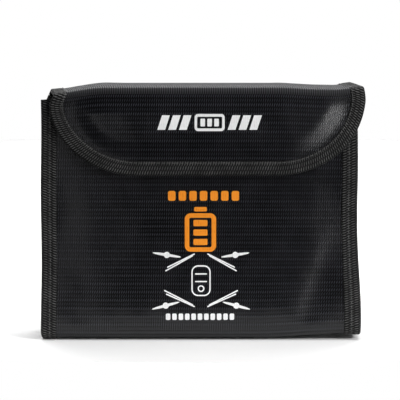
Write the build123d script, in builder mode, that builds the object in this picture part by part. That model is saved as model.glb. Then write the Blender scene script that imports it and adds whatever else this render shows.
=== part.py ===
from build123d import *
import os

# A fire-resistant pouch for flight battery packs. One long coated-cloth strip makes the front,
# bottom, back, lid and flap. A gusset closes each side, and woven binding tape is sewn round
# every cut edge. +X is to the right, the front faces -Y, and the pouch stands on Z = 0.

# Overall sizes, in millimetres.
BODY_WIDTH = 212.0  # across the seam bindings, and also across the flap
BODY_DEPTH = 48.9  # over the front and back seam bindings
BACK_FACE = 26.5  # outer face of the back seam bindings
BODY_SHIFT = -2.7  # centre of the body along X
FLAP_SHIFT = 2.7  # centre of the flap along X: the lid is folded slightly askew
SEAM_TOP = 164.5  # upper end of the seam bindings
PANEL_TOP = 163.0  # upper edge of the front panel, inside its binding
GUSSET_TOP = 160.0  # upper edge of the gussets, inside their bindings
LID_TOP = 169.0  # outer face of the lid's bindings
FLAP_FACE = -26.5  # outer face of the flap's binding
FLAP_BOTTOM = 112.2  # lower edge of the flap
FLAP_CORNER_WIDTH = 60.0  # half-axes of the flap's elliptical lower corners
FLAP_CORNER_HEIGHT = 52.0
BOTTOM_RADIUS = 6.5  # bend of the strip under the front and back
BOTTOM_SPLIT = 9.0  # height where the bottom panel meets the front and back panels

# Cloth, tape and thread thicknesses.
CLOTH = 1.0
LINER = 0.6
TAPE = 0.6
STRIP = 1.0
HOOKS = 1.2
THREAD = 0.25
THREAD_WIDTH = 0.6
FILM = 0.12

# Binding tape as it shows on each side of an edge.
SEAM_TAPE = 10.5
EDGE_TAPE = 9.8
MOUTH_TAPE = 10.0
GUSSET_TAPE = 9.0
SEAM_ROW = 6.0  # stitch row, measured in from the outer edge of each tape
EDGE_ROW = 8.4
MOUTH_ROW = 7.6

# Clearances about the two fold lines.
FOLD_GAP = 0.8
FOLD_CLEAR = 2.2

# Fastener tape under the flap.
FASTENER_WIDTH = 110.0
FASTENER_LOW = 123.5
FASTENER_HIGH = 143.5

# Printed marks, from the top of the front panel down: a row of cells, an upright battery, a
# quadcopter in outline and a row of bars. Centres are (x, z), and sizes are (width, height).
HEADER_CENTRE = (0.2, 98.4)
HEADER_COUNT = 7
HEADER_PITCH = 7.1
HEADER_CELL = (5.0, 6.6)
HEADER_RADIUS = 1.3
BATTERY_CENTRE = (-1.9, 73.7)
BATTERY_CASE = (21.0, 26.0)
BATTERY_WALL = 3.0
BATTERY_RADII = (4.0, 1.2)  # outside and inside corners of the case
BATTERY_TERMINAL = (8.5, 3.0)
BATTERY_TERMINAL_GAP = 1.2
BATTERY_BAR = (9.4, 4.2)
BATTERY_BAR_PITCH = 6.4
BATTERY_BAR_RADIUS = 0.8
DRONE_CENTRE = (-1.5, 41.0)
DRONE_LINE = 0.9
DRONE_HULL = (13.0, 21.0)
DRONE_HULL_RADIUS = 4.6
DRONE_SEAM_HALF = 3.6  # half the length of the two lines across the hull
DRONE_SEAM_HEIGHTS = (4.6, -0.6)
DRONE_ARM_ROOT = (5.2, 8.0)
DRONE_ARM_FORK = 1.2
DRONE_ARMS = ((1, (23.0, 17.5), 9.0), (-1, (23.8, 17.0), 15.0))  # level, hub and blade angle
DRONE_ROTOR = (9.6, 0.95)
DRONE_HUB_RADIUS = 2.1
DRONE_CAMERA_DROP = 5.4
DRONE_CAMERA_RADIUS = 2.3
CAPTION_CENTRE = (-2.2, 16.4)
CAPTION_COUNT = 11
CAPTION_PITCH = 4.3
CAPTION_BAR = (3.1, 4.4)
CAPTION_RADIUS = 0.9

# The flap's printed mark: a battery on its side between two sets of slanted bars.
FLAP_MARK_CENTRE = (4.2, 146.5)
FLAP_CASE = (20.0, 10.6)
FLAP_CASE_WALL = 1.7
FLAP_CASE_RADII = (2.2, 0.8)
FLAP_CELL = (3.1, 4.8)
FLAP_CELL_PITCH = 4.6
FLAP_CELL_RADIUS = 0.5
FLAP_BAR = (5.2, 9.0)
FLAP_BAR_START = 16.2  # centre of the first bar, out from the battery's centre
FLAP_BAR_PITCH = 7.2
FLAP_BAR_LEAN = 3.2
BARS_PER_MARK = 3

HALF_WIDTH = BODY_WIDTH / 2
FRONT_FACE = BACK_FACE - BODY_DEPTH
FRONT_CLOTH = FRONT_FACE + TAPE
BACK_CLOTH = BACK_FACE - TAPE
LINER_START = TAPE + CLOTH
POCKET_START = TAPE + CLOTH + LINER
SEAM_THICKNESS = 2 * TAPE + 2 * CLOTH
WALL_INSET = SEAM_TAPE + CLOTH
LID_AXIS = (BACK_CLOTH - CLOTH / 2, LID_TOP - TAPE - CLOTH / 2)
FLAP_AXIS = (FLAP_FACE + TAPE + CLOTH / 2, LID_TOP - TAPE - CLOTH / 2)
SIDES = (("left", -1), ("right", 1))


def body_x(side, inset):
    """X of a point on the body, measured in from its left (-1) or right (1) edge."""
    return BODY_SHIFT + side * (HALF_WIDTH - inset)


def slab(x_limits, y_limits, z_limits, mode=Mode.ADD):
    """A flat slab between the given limits."""
    with BuildSketch(Plane.XY.offset(z_limits[0])) as footprint:
        with Locations(((x_limits[0] + x_limits[1]) / 2, (y_limits[0] + y_limits[1]) / 2)):
            Rectangle(x_limits[1] - x_limits[0], y_limits[1] - y_limits[0])
    extrude(footprint.sketch, amount=z_limits[1] - z_limits[0], mode=mode)


def wrap_outline(inset, top, mode=Mode.ADD):
    """The bag's side outline up to a height, inset from its outer face."""
    front = FRONT_FACE + inset
    back = BACK_FACE - inset
    with BuildLine() as outline:
        FilletPolyline(
            (front, top), (front, inset), (back, inset), (back, top), radius=BOTTOM_RADIUS - inset
        )
        Line((back, top), (front, top))
    make_face(outline.edges(), mode=mode)


def wrap_band(outer, inner, top):
    """A layer of the side outline, between two insets."""
    wrap_outline(outer, top)
    wrap_outline(inner, top, Mode.SUBTRACT)


def flap_outline(inset, top, mode=Mode.ADD):
    """The flap's outline below a height, inset from its outer edge."""
    left = FLAP_SHIFT - HALF_WIDTH + inset
    right = FLAP_SHIFT + HALF_WIDTH - inset
    corner_left = FLAP_SHIFT - HALF_WIDTH + FLAP_CORNER_WIDTH
    corner_right = FLAP_SHIFT + HALF_WIDTH - FLAP_CORNER_WIDTH
    corner_z = FLAP_BOTTOM + FLAP_CORNER_HEIGHT
    radii = (FLAP_CORNER_WIDTH - inset, FLAP_CORNER_HEIGHT - inset)
    with BuildLine() as outline:
        Line((left, top), (left, corner_z))
        EllipticalCenterArc((corner_left, corner_z), *radii, start_angle=180)
        Line((corner_left, FLAP_BOTTOM + inset), (corner_right, FLAP_BOTTOM + inset))
        EllipticalCenterArc((corner_right, corner_z), *radii, start_angle=270)
        Line((right, corner_z), (right, top))
        Line((right, top), (left, top))
    make_face(outline.edges(), mode=mode)


def lid_x(side, inset, y):
    """X of a point on the lid at depth y, measured in from its left or right edge."""
    forward = (LID_AXIS[0] - y) / (LID_AXIS[0] - FLAP_AXIS[0])
    return BODY_SHIFT + forward * (FLAP_SHIFT - BODY_SHIFT) + side * (HALF_WIDTH - inset)


def lid_outline(start, end, front, back):
    """A sheared strip of the lid between two edges, each a (side, inset) pair."""
    with BuildLine() as outline:
        Polyline(
            (lid_x(*start, front), front),
            (lid_x(*end, front), front),
            (lid_x(*end, back), back),
            (lid_x(*start, back), back),
            close=True,
        )
    make_face(outline.edges())


def front_plane(y):
    """A sketch plane at depth y that faces the front."""
    return Plane.XZ.offset(-y)


def stroke(start, end, width):
    """A round-ended line of a printed drawing."""
    run = Vector(*end) - Vector(*start)
    middle = (Vector(*end) + Vector(*start)) / 2
    with Locations((middle.X, middle.Y)):
        SlotCenterToCenter(run.length, width, rotation=Vector(1, 0).get_signed_angle(run))


def rounded_frame(size, wall, radii):
    """A rectangle with a smaller one cut out of it, each with its own corner radius."""
    RectangleRounded(*size, radius=radii[0])
    RectangleRounded(size[0] - 2 * wall, size[1] - 2 * wall, radius=radii[1], mode=Mode.SUBTRACT)


def marks_in_row(count, pitch, size, radius, vertical=False):
    """Rounded rectangles in a row, or one above another."""
    steps = (1, pitch, 1, count) if vertical else (pitch, 1, count, 1)
    with GridLocations(*steps):
        RectangleRounded(*size, radius=radius)


def forked_arm(root, hub, fork):
    """Two lines that run from one side of a rotor arm's root to the hub, and draw together."""
    for edge in (-1, 1):
        shift_x = edge * fork[0] / 2
        shift_y = -edge * fork[1]
        stroke(
            (root[0] + shift_x, root[1] + shift_y),
            (hub[0] + shift_x, hub[1] + shift_y / 2),
            DRONE_LINE,
        )


def slanted_bar(centre):
    """One bar that leans to the right."""
    half_width = FLAP_BAR[0] / 2
    half_height = FLAP_BAR[1] / 2
    half_lean = FLAP_BAR_LEAN / 2
    with BuildLine() as outline:
        Polyline(
            (centre[0] - half_width - half_lean, centre[1] - half_height),
            (centre[0] + half_width - half_lean, centre[1] - half_height),
            (centre[0] + half_width + half_lean, centre[1] + half_height),
            (centre[0] - half_width + half_lean, centre[1] + half_height),
            close=True,
        )
    make_face(outline.edges())


def save(piece, name):
    """Label a finished piece and write its file."""
    piece.part.label = name
    export_step(piece.part, f"parts/{name}.step")


os.makedirs("parts", exist_ok=True)

# --- The coated strip, split where it folds ---------------------------------------------------
panel_x = (body_x(-1, TAPE), body_x(1, TAPE))
between_tapes_x = (body_x(-1, SEAM_TAPE), body_x(1, SEAM_TAPE))
between_walls_x = (body_x(-1, WALL_INSET), body_x(1, WALL_INSET))

with BuildPart() as front_panel:
    slab(panel_x, (FRONT_CLOTH, FRONT_CLOTH + CLOTH), (BOTTOM_SPLIT, PANEL_TOP))
save(front_panel, "front_panel")

with BuildPart() as back_panel:
    slab(panel_x, (BACK_CLOTH - CLOTH, BACK_CLOTH), (BOTTOM_SPLIT, LID_AXIS[1]))
save(back_panel, "back_panel")

# The bottom bellies down to the ground between the seam bindings, which it runs under at each end.
with BuildPart() as bottom_panel:
    with BuildSketch(Plane.YZ.offset(panel_x[0])):
        wrap_band(TAPE, TAPE + CLOTH, BOTTOM_SPLIT)
    extrude(amount=panel_x[1] - panel_x[0])
    slab(
        between_tapes_x,
        (FRONT_FACE + BOTTOM_RADIUS, BACK_FACE - BOTTOM_RADIUS),
        (0, TAPE + CLOTH),
    )
save(bottom_panel, "bottom_panel")

# --- Lining of the pocket ---------------------------------------------------------------------
with BuildPart() as front_liner:
    slab(
        between_walls_x,
        (FRONT_FACE + LINER_START, FRONT_FACE + POCKET_START),
        (BOTTOM_SPLIT, PANEL_TOP),
    )
save(front_liner, "front_liner")

with BuildPart() as back_liner:
    slab(
        between_walls_x,
        (BACK_FACE - POCKET_START, BACK_FACE - LINER_START),
        (BOTTOM_SPLIT, LID_AXIS[1] - FOLD_CLEAR),
    )
save(back_liner, "back_liner")

with BuildPart() as bottom_liner:
    with BuildSketch(Plane.YZ.offset(between_walls_x[0])):
        wrap_band(LINER_START, POCKET_START, BOTTOM_SPLIT)
    extrude(amount=between_walls_x[1] - between_walls_x[0])
save(bottom_liner, "bottom_liner")

# --- Gussets, their linings and bindings, and the seam bindings -------------------------------
for side_name, side in SIDES:
    # The side wall, with a flange turned out along its front, bottom and back edges.
    with BuildPart() as gusset:
        with BuildSketch(Plane.YZ.offset(body_x(side, TAPE))):
            wrap_band(LINER_START, LINER_START + CLOTH, GUSSET_TOP)
        extrude(amount=-side * (SEAM_TAPE - TAPE))
        with BuildSketch(Plane.YZ.offset(body_x(side, SEAM_TAPE))):
            wrap_outline(LINER_START, GUSSET_TOP)
        extrude(amount=-side * CLOTH)
    save(gusset, f"{side_name}_gusset")

    with BuildPart() as gusset_liner:
        with BuildSketch(Plane.YZ.offset(body_x(side, WALL_INSET))):
            wrap_outline(POCKET_START, GUSSET_TOP)
        extrude(amount=-side * LINER)
    save(gusset_liner, f"{side_name}_gusset_liner")

    # Tape folded over the upper edge of the side wall and its lining.
    edge_y = (FRONT_FACE + SEAM_THICKNESS, BACK_FACE - SEAM_THICKNESS)
    wall_x = sorted((body_x(side, SEAM_TAPE), body_x(side, WALL_INSET + LINER)))
    with BuildPart() as gusset_binding:
        slab(
            (wall_x[0] - TAPE, wall_x[1] + TAPE),
            edge_y,
            (GUSSET_TOP - GUSSET_TAPE, GUSSET_TOP + TAPE),
        )
        slab(wall_x, edge_y, (GUSSET_TOP - GUSSET_TAPE, GUSSET_TOP), Mode.SUBTRACT)
    save(gusset_binding, f"{side_name}_gusset_binding")

    # Tape folded round the strip's edge and the gusset's flange, down the front, under and up.
    with BuildPart() as seam_binding:
        with BuildSketch(Plane.YZ.offset(body_x(side, 0))):
            wrap_band(0, SEAM_THICKNESS, SEAM_TOP)
        extrude(amount=-side * SEAM_TAPE)
        with BuildSketch(Plane.YZ.offset(body_x(side, TAPE))):
            wrap_band(TAPE, TAPE + 2 * CLOTH, SEAM_TOP)
        extrude(amount=-side * (SEAM_TAPE - TAPE), mode=Mode.SUBTRACT)
    save(seam_binding, f"{side_name}_seam_binding")

    # Stitching: one row down the front, one up the back, and its underside along the seam's
    # inner face.
    row_x = (body_x(side, SEAM_ROW) - THREAD_WIDTH / 2, body_x(side, SEAM_ROW) + THREAD_WIDTH / 2)
    row_z = (BOTTOM_SPLIT, SEAM_TOP - THREAD_WIDTH)
    with BuildPart() as seam_thread:
        slab(row_x, (FRONT_FACE - THREAD, FRONT_FACE), row_z)
        slab(row_x, (BACK_FACE, BACK_FACE + THREAD), row_z)
        with BuildSketch(Plane.YZ.offset(row_x[0])):
            wrap_band(SEAM_THICKNESS, SEAM_THICKNESS + THREAD, row_z[1])
        extrude(amount=THREAD_WIDTH)
    save(seam_thread, f"{side_name}_seam_thread")

# --- Mouth binding over the front panel's upper edge ------------------------------------------
mouth_z = (PANEL_TOP - MOUTH_TAPE, PANEL_TOP)
mouth_back = FRONT_FACE + POCKET_START
mouth_x = (body_x(-1, SEAM_TAPE + CLOTH + LINER + TAPE), body_x(1, SEAM_TAPE + CLOTH + LINER + TAPE))
with BuildPart() as mouth_binding:
    slab(mouth_x, (FRONT_FACE, mouth_back + TAPE), (mouth_z[0], PANEL_TOP + TAPE))
    slab(mouth_x, (FRONT_CLOTH, mouth_back), mouth_z, Mode.SUBTRACT)
save(mouth_binding, "mouth_binding")

mouth_row_z = PANEL_TOP + TAPE - MOUTH_ROW
mouth_row = (mouth_row_z - THREAD_WIDTH / 2, mouth_row_z + THREAD_WIDTH / 2)
with BuildPart() as mouth_thread:
    slab(mouth_x, (FRONT_FACE - THREAD, FRONT_FACE), mouth_row)
    slab(mouth_x, (mouth_back + TAPE, mouth_back + TAPE + THREAD), mouth_row)
save(mouth_thread, "mouth_thread")

# --- Fastener tape: loops on the front panel, hooks under the flap ----------------------------
fastener_x = (-FASTENER_WIDTH / 2, FASTENER_WIDTH / 2)
fastener_z = (FASTENER_LOW, FASTENER_HIGH)
flap_back = FLAP_FACE + TAPE + CLOTH + LINER
with BuildPart() as loop_strip:
    slab(fastener_x, (FRONT_CLOTH - STRIP, FRONT_CLOTH), fastener_z)
save(loop_strip, "loop_strip")

with BuildPart() as hook_strip:
    slab(fastener_x, (flap_back, flap_back + HOOKS), fastener_z)
save(hook_strip, "hook_strip")

# --- Lid --------------------------------------------------------------------------------------
lid_outer = LID_TOP - TAPE
lid_inner = lid_outer - CLOTH - LINER
lid_back = LID_AXIS[0] - FOLD_CLEAR
lid_front = FLAP_AXIS[0] + FOLD_CLEAR
with BuildPart() as lid_panel:
    with BuildSketch(Plane.XY.offset(lid_outer - CLOTH)):
        lid_outline((-1, TAPE), (1, TAPE), FLAP_AXIS[0], LID_AXIS[0] - FOLD_GAP)
    extrude(amount=CLOTH)
save(lid_panel, "lid_panel")

with BuildPart() as lid_liner:
    with BuildSketch(Plane.XY.offset(lid_inner)):
        lid_outline((-1, TAPE), (1, TAPE), lid_front, lid_back)
    extrude(amount=LINER)
save(lid_liner, "lid_liner")

for side_name, side in SIDES:
    with BuildPart() as lid_binding:
        with BuildSketch(Plane.XY.offset(lid_inner - TAPE)):
            lid_outline((side, 0), (side, EDGE_TAPE), lid_front, lid_back)
        extrude(amount=LID_TOP - lid_inner + TAPE)
        with BuildSketch(Plane.XY.offset(lid_inner)):
            lid_outline((side, TAPE), (side, EDGE_TAPE), lid_front, lid_back)
        extrude(amount=CLOTH + LINER, mode=Mode.SUBTRACT)
    save(lid_binding, f"{side_name}_lid_binding")

with BuildPart() as lid_thread:
    for side_name, side in SIDES:
        for row_base in (LID_TOP, lid_inner - TAPE - THREAD):
            with BuildSketch(Plane.XY.offset(row_base)):
                lid_outline((side, EDGE_ROW), (side, EDGE_ROW + THREAD_WIDTH), lid_front, lid_back)
            extrude(amount=THREAD)
save(lid_thread, "lid_thread")

# --- Flap -------------------------------------------------------------------------------------
flap_cloth = FLAP_FACE + TAPE
edge_top = FLAP_AXIS[1] - FOLD_CLEAR
with BuildPart() as flap_panel:
    with BuildSketch(front_plane(flap_cloth + CLOTH)):
        flap_outline(TAPE, FLAP_AXIS[1] - FOLD_GAP)
    extrude(amount=CLOTH)
save(flap_panel, "flap_panel")

with BuildPart() as flap_liner:
    with BuildSketch(front_plane(flap_back)):
        flap_outline(TAPE, edge_top)
    extrude(amount=LINER)
save(flap_liner, "flap_liner")

with BuildPart() as flap_binding:
    with BuildSketch(front_plane(flap_back + TAPE)):
        flap_outline(0, edge_top)
        flap_outline(EDGE_TAPE, edge_top, Mode.SUBTRACT)
    extrude(amount=2 * TAPE + CLOTH + LINER)
    with BuildSketch(front_plane(flap_back)):
        flap_outline(TAPE, edge_top)
    extrude(amount=CLOTH + LINER, mode=Mode.SUBTRACT)
save(flap_binding, "flap_binding")

with BuildPart() as flap_thread:
    for row_back in (FLAP_FACE, flap_back + TAPE + THREAD):
        with BuildSketch(front_plane(row_back)):
            flap_outline(EDGE_ROW, edge_top)
            flap_outline(EDGE_ROW + THREAD_WIDTH, edge_top, Mode.SUBTRACT)
        extrude(amount=THREAD)
save(flap_thread, "flap_thread")

# --- Printed film marks: plain pictograms on the front panel and the flap ---------------------
with BuildPart() as header_print:
    with BuildSketch(front_plane(FRONT_CLOTH)):
        with Locations(HEADER_CENTRE):
            marks_in_row(HEADER_COUNT, HEADER_PITCH, HEADER_CELL, HEADER_RADIUS)
    extrude(amount=FILM)
save(header_print, "header_print")

# An upright battery cell with three charge bars.
terminal_rise = BATTERY_CASE[1] / 2 + BATTERY_TERMINAL_GAP + BATTERY_TERMINAL[1] / 2
with BuildPart() as symbol_print:
    with BuildSketch(front_plane(FRONT_CLOTH)):
        with Locations(BATTERY_CENTRE):
            rounded_frame(BATTERY_CASE, BATTERY_WALL, BATTERY_RADII)
            marks_in_row(BARS_PER_MARK, BATTERY_BAR_PITCH, BATTERY_BAR, BATTERY_BAR_RADIUS, True)
        with Locations((BATTERY_CENTRE[0], BATTERY_CENTRE[1] + terminal_rise)):
            RectangleRounded(*BATTERY_TERMINAL, radius=BATTERY_BAR_RADIUS)
    extrude(amount=FILM)
save(symbol_print, "symbol_print")

# A plain quadcopter in outline: a rounded hull, four forked arms and four two-bladed rotors.
with BuildPart() as drone_print:
    with BuildSketch(front_plane(FRONT_CLOTH)):
        with Locations(DRONE_CENTRE):
            hull_radii = (DRONE_HULL_RADIUS, DRONE_HULL_RADIUS - DRONE_LINE)
            rounded_frame(DRONE_HULL, DRONE_LINE, hull_radii)
            for side_name, side in SIDES:
                for level, hub, blade_angle in DRONE_ARMS:
                    root = (side * DRONE_ARM_ROOT[0], level * DRONE_ARM_ROOT[1])
                    tip = (side * hub[0], level * hub[1])
                    forked_arm(root, tip, (side * DRONE_ARM_FORK, level * DRONE_ARM_FORK))
                    with Locations(tip):
                        Ellipse(*DRONE_ROTOR, rotation=side * level * blade_angle)
                        Circle(DRONE_HUB_RADIUS)
            for height in DRONE_SEAM_HEIGHTS:
                stroke((-DRONE_SEAM_HALF, height), (DRONE_SEAM_HALF, height), DRONE_LINE)
            with Locations((0, -DRONE_CAMERA_DROP)):
                Circle(DRONE_CAMERA_RADIUS)
                Circle(DRONE_CAMERA_RADIUS - DRONE_LINE, mode=Mode.SUBTRACT)
    extrude(amount=FILM)
save(drone_print, "drone_print")

with BuildPart() as caption_print:
    with BuildSketch(front_plane(FRONT_CLOTH)):
        with Locations(CAPTION_CENTRE):
            marks_in_row(CAPTION_COUNT, CAPTION_PITCH, CAPTION_BAR, CAPTION_RADIUS)
    extrude(amount=FILM)
save(caption_print, "caption_print")

with BuildPart() as flap_print:
    with BuildSketch(front_plane(flap_cloth)):
        with Locations(FLAP_MARK_CENTRE):
            rounded_frame(FLAP_CASE, FLAP_CASE_WALL, FLAP_CASE_RADII)
            marks_in_row(BARS_PER_MARK, FLAP_CELL_PITCH, FLAP_CELL, FLAP_CELL_RADIUS)
        for side_name, side in SIDES:
            for bar in range(BARS_PER_MARK):
                reach = side * (FLAP_BAR_START + bar * FLAP_BAR_PITCH)
                slanted_bar((FLAP_MARK_CENTRE[0] + reach, FLAP_MARK_CENTRE[1]))
    extrude(amount=FILM)
save(flap_print, "flap_print")
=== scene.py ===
import math
import random

import bmesh
import bpy
import numpy as np
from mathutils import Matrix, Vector


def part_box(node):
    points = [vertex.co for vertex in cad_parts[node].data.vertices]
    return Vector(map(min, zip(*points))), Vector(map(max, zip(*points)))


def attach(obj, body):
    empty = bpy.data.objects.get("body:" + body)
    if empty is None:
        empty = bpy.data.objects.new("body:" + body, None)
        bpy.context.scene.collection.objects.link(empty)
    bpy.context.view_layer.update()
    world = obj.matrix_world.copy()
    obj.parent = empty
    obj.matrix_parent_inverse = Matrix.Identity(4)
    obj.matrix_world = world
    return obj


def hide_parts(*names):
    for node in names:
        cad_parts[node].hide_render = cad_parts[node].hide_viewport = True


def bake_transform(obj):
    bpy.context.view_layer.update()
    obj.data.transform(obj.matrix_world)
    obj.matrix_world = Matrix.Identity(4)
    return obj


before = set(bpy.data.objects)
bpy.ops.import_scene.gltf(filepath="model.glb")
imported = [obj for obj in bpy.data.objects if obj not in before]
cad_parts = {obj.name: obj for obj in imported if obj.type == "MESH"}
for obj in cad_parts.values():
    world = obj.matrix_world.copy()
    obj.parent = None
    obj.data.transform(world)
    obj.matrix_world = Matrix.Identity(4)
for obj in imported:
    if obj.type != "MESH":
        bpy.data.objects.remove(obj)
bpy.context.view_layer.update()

# A soft pouch sewn from one long strip of ribbed, coated cloth. Everything on the strip is laid
# out flat first, as across = metres from its centre line and along = metres from the mouth edge
# down the front, under, up the back, over the lid and down the flap. strip_at() then folds that
# flat pattern into shape, so cloth, lining, tape, stitches and print all follow one surface.

MM = 0.001
random.seed(7)

# --- Places taken from the frame ---


def limits(node):
    """A node's lowest and highest corners, as arrays."""
    low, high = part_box(node)
    return np.array(low), np.array(high)


seam_left, seam_right = limits("left_seam_binding"), limits("right_seam_binding")
flap_edge, lid_edge = limits("flap_binding"), limits("left_lid_binding")
panel, mouth, strip_box = limits("front_panel"), limits("mouth_binding"), limits("hook_strip")
gusset_top = limits("left_gusset_binding")[1][2]

HALF = (seam_right[1][0] - seam_left[0][0]) / 2
BODY_SHIFT = (seam_right[1][0] + seam_left[0][0]) / 2
FLAP_SHIFT = (flap_edge[0][0] + flap_edge[1][0]) / 2
SEAM_TAPE = seam_left[1][0] - seam_left[0][0]
EDGE_TAPE = 9.8 * MM
MOUTH_TAPE = mouth[1][2] - mouth[0][2]
TAPE = 0.6 * MM
CLOTH = 1.0 * MM
LINER = 0.6 * MM
SEAM_DEPTH = 2 * CLOTH + TAPE  # from the cloth's outer face to the inside face of a seam
EDGE_DEPTH = CLOTH + LINER + TAPE  # the same at a bound edge
FRONT = seam_left[0][1] + TAPE
BACK = seam_left[1][1] - TAPE
SEAM_TOP = seam_left[1][2]
MOUTH = panel[1][2]
LID = lid_edge[1][2] - TAPE
FLAP = flap_edge[0][1] + TAPE
FLAP_LOW = flap_edge[0][2]
BASE = TAPE
WALL = SEAM_TAPE + CLOTH  # the gusset's inner face, in from the strip's edge

BOTTOM_BEND = 8.0 * MM
TOP_BEND = 3.2 * MM
CORNER_ACROSS = 60.0 * MM
CORNER_ALONG = 52.0 * MM

RIB = 2.79 * MM
ROWS_PER_RIB = 4
ROW = RIB / ROWS_PER_RIB
COLUMN = 2.0 * MM
RIB_HEIGHT = 0.07 * MM
LID_FULLNESS = 6.0
THREAD_GAP = 1.51 * MM
LINING_THREAD = 1.1 * MM

GUSSET_TAPE = 9.0 * MM
GUSSET_BEND = 3.0 * MM
GUSSET_FOLD = 6.5 * MM
TAPE_COLUMN = 3.1 * MM
TAPE_THREAD = 1.72 * MM
STITCH_PITCH = 3.1 * MM
STITCH_LENGTH = 2.5 * MM
THREAD_RADIUS = 0.22 * MM
ROW_DIP = 0.28 * MM
DIP_WIDTH = 1.1 * MM
SELVAGE_DIP = 0.3 * MM
PUCKER = 0.07 * MM
SEAM_ROW = 6.0 * MM
EDGE_ROW = 8.7 * MM
MOUTH_ROW = 7.6 * MM
GUSSET_ROW = 6.8 * MM
ROW_STOP = 2.0 * MM
FILM_OUT = 0.12 * MM
FILM_IN = -0.06 * MM
EDGE_INSET = 0.8 * MM
LINING_INSET = 6.5 * MM
SIDES = (("left", -1), ("right", 1))


# --- The strip's side profile ---


def walk_profile(runs, start, heading):
    """Points, outward normals and distances along straight runs (length) and bends (radius)."""
    points, normals, marks = [np.array(start)], [], [0.0]
    direction = np.array(heading)
    normals.append((direction[1], -direction[0]))
    corners = []
    for kind, size in runs:
        length = size if kind == "run" else size * math.pi / 2
        steps = max(2, int(length / (0.4 * MM)))
        first = math.atan2(direction[1], direction[0])
        for step in range(steps):
            turn = 0.0 if kind == "run" else (math.pi / 2) * (step + 0.5) / steps
            move = np.array((math.cos(first + turn), math.sin(first + turn)))
            points.append(points[-1] + move * length / steps)
            marks.append(marks[-1] + length / steps)
            end = 0.0 if kind == "run" else (math.pi / 2) * (step + 1) / steps
            normals.append((math.sin(first + end), -math.cos(first + end)))
        if kind == "bend":
            direction = np.array((-direction[1], direction[0]))
        corners.append(marks[-1])
    return np.array(points), np.array(normals), np.array(marks), corners


profile_runs = [
    ("run", MOUTH - BASE - BOTTOM_BEND),
    ("bend", BOTTOM_BEND),
    ("run", BACK - FRONT - 2 * BOTTOM_BEND),
    ("bend", BOTTOM_BEND),
    ("run", LID - BASE - BOTTOM_BEND - TOP_BEND),
    ("bend", TOP_BEND),
    ("run", BACK - FLAP - 2 * TOP_BEND),
    ("bend", TOP_BEND),
    ("run", LID - TOP_BEND - FLAP_LOW),
]
profile, profile_normals, profile_marks, corners = walk_profile(
    profile_runs, (FRONT, MOUTH), (0.0, -1.0)
)
FRONT_END, BOTTOM_START, BOTTOM_END, BACK_START = corners[0:4]
BACK_END, LID_START, LID_END, FLAP_START, STRIP_END = corners[4:9]
LID_MIDDLE = (LID_START + LID_END) / 2


def along_front(z):
    """Distance along the strip of a height on the front panel."""
    return MOUTH - z


def along_back(z):
    """Distance along the strip of a height on the back panel."""
    return BACK_START + z - BASE - BOTTOM_BEND


def along_flap(z):
    """Distance along the strip of a height on the flap."""
    return FLAP_START + LID - TOP_BEND - z


def profile_normal(along):
    """The outward direction in Y and Z at a distance along the strip."""
    normal_y = np.interp(along, profile_marks, profile_normals[:, 0])
    return normal_y, np.interp(along, profile_marks, profile_normals[:, 1])


def smooth(value, low, high):
    """0 before low, 1 after high, and a smooth rise between."""
    t = np.clip((value - low) / (high - low), 0.0, 1.0)
    return t * t * (3.0 - 2.0 * t)


def ripple(u, v, seed, size, waves=7):
    """Soft random waves of about the given size, from -1 to 1."""
    pick = random.Random(seed)
    total = 0.0
    for _ in range(waves):
        angle = pick.uniform(0, math.pi)
        length = size * pick.uniform(0.7, 1.7)
        phase = pick.uniform(0, 2 * math.pi)
        total = total + np.sin(
            (u * math.cos(angle) + v * math.sin(angle)) * 2 * math.pi / length + phase
        )
    return total / (waves * 0.6)


def shift_at(along):
    """The strip's centre line in X: it slants across the lid."""
    t = np.clip((along - LID_START) / (LID_END - LID_START), 0.0, 1.0)
    return BODY_SHIFT + t * (FLAP_SHIFT - BODY_SHIFT)


def rise_and_fall(value, start, rise_end, fall_start, end):
    """0 outside start to end, and 1 between the end of the rise and the start of the fall."""
    return smooth(value, start, rise_end) * (1 - smooth(value, fall_start, end))


def inside_outline(across, along):
    """Distance in from the strip's sides, its lower hem and the flap's round corners."""
    side = HALF - np.abs(across)
    below = STRIP_END - along
    s = np.clip(1 - side / CORNER_ACROSS, 0, None)
    t = np.clip(1 - below / CORNER_ALONG, 0, None)
    corner = (1 - np.sqrt(s**2 + t**2)) * (CORNER_ACROSS + CORNER_ALONG) / 2
    return np.where((s > 0) & (t > 0), corner, np.minimum(side, below))


FRONT_PILLOW = 0.6 * MM
BOTTOM_SAG = 0.55 * MM
BACK_PILLOW = 2.6 * MM
LID_PILLOW = 0.3 * MM
FLAP_SHOULDER = 1.9 * MM
FLAP_PILLOW = 1.0 * MM
HEM_LIFT = 0.4 * MM


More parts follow.
